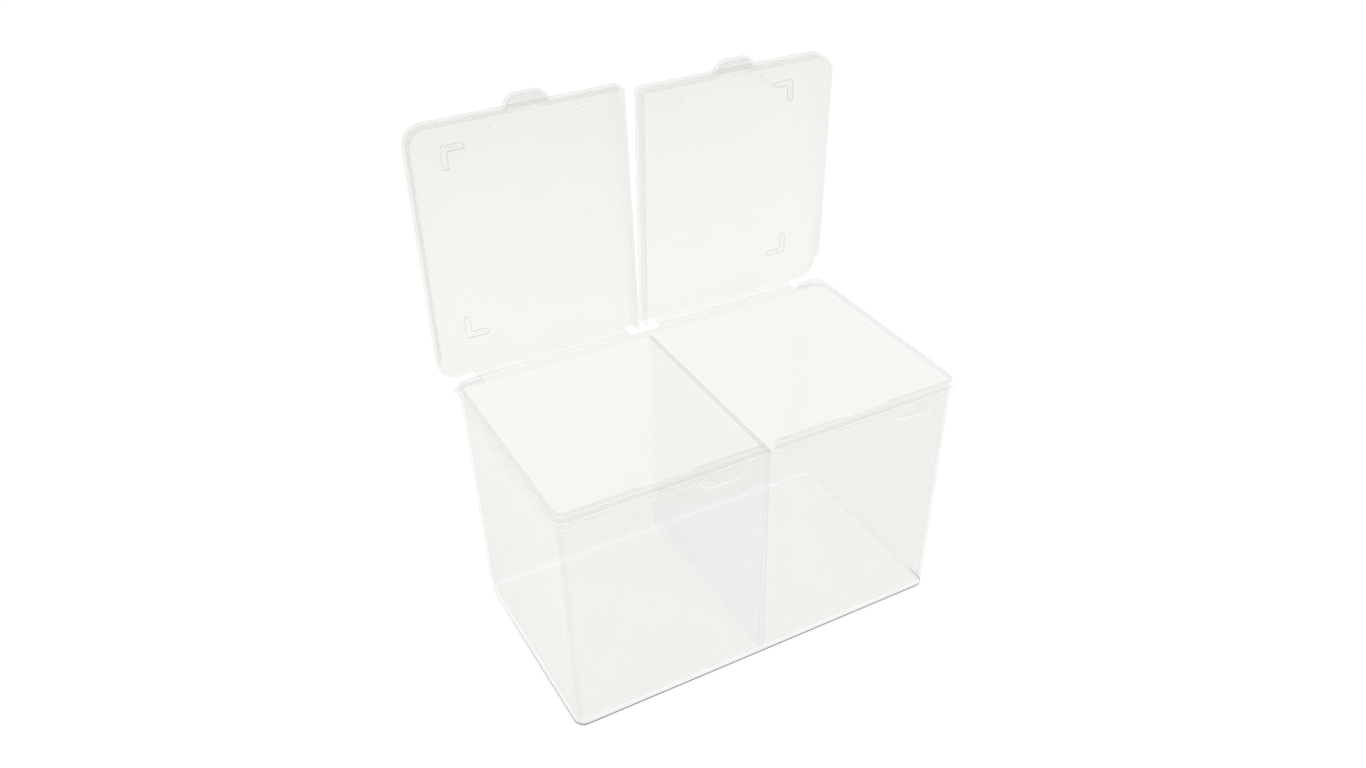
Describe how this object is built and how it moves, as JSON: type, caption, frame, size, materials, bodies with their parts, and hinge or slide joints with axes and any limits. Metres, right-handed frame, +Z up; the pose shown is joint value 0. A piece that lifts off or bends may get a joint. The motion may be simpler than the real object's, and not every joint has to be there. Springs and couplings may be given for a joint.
{
  "type": "two-compartment storage box",
  "caption": "Translucent moulded storage box with a middle divider and two separate flip lids on living hinges, both lids standing open",
  "frame": {"origin": "centre of the flat underside, on the surface the box stands on", "axes": "+X along the box to the viewer's right, +Y to the hinge side, +Z up"},
  "size_m": [0.208, 0.1415, 0.2496],
  "materials": {
    "tub_plastic": "translucent natural polypropylene, soft gloss",
    "divider_plastic": "translucent natural polypropylene, thicker and a little bluer",
    "lid_plastic": "translucent natural polypropylene, soft gloss",
    "film_plastic": "thin translucent polypropylene, whitened where it bends"
  },
  "bodies": {
    "tub": {"tub": "tub_plastic", "divider": "divider_plastic", "left_hinge_film": "film_plastic", "right_hinge_film": "film_plastic"},
    "left_lid": {"left_lid": "lid_plastic"},
    "right_lid": {"right_lid": "lid_plastic"}
  },
  "joints": [
    {"name": "left_lid_hinge", "type": "hinge", "parent": "tub", "child": "left_lid", "pos_m": [-0.04825, 0.0622, 0.12], "axis": [-1, 0, 0], "range_deg": [-93, 87], "deforming": ["left_hinge_film"]},
    {"name": "right_lid_hinge", "type": "hinge", "parent": "tub", "child": "right_lid", "pos_m": [0.04825, 0.0622, 0.12], "axis": [-1, 0, 0], "range_deg": [-88.2, 91.8], "deforming": ["right_hinge_film"]}
  ]
}
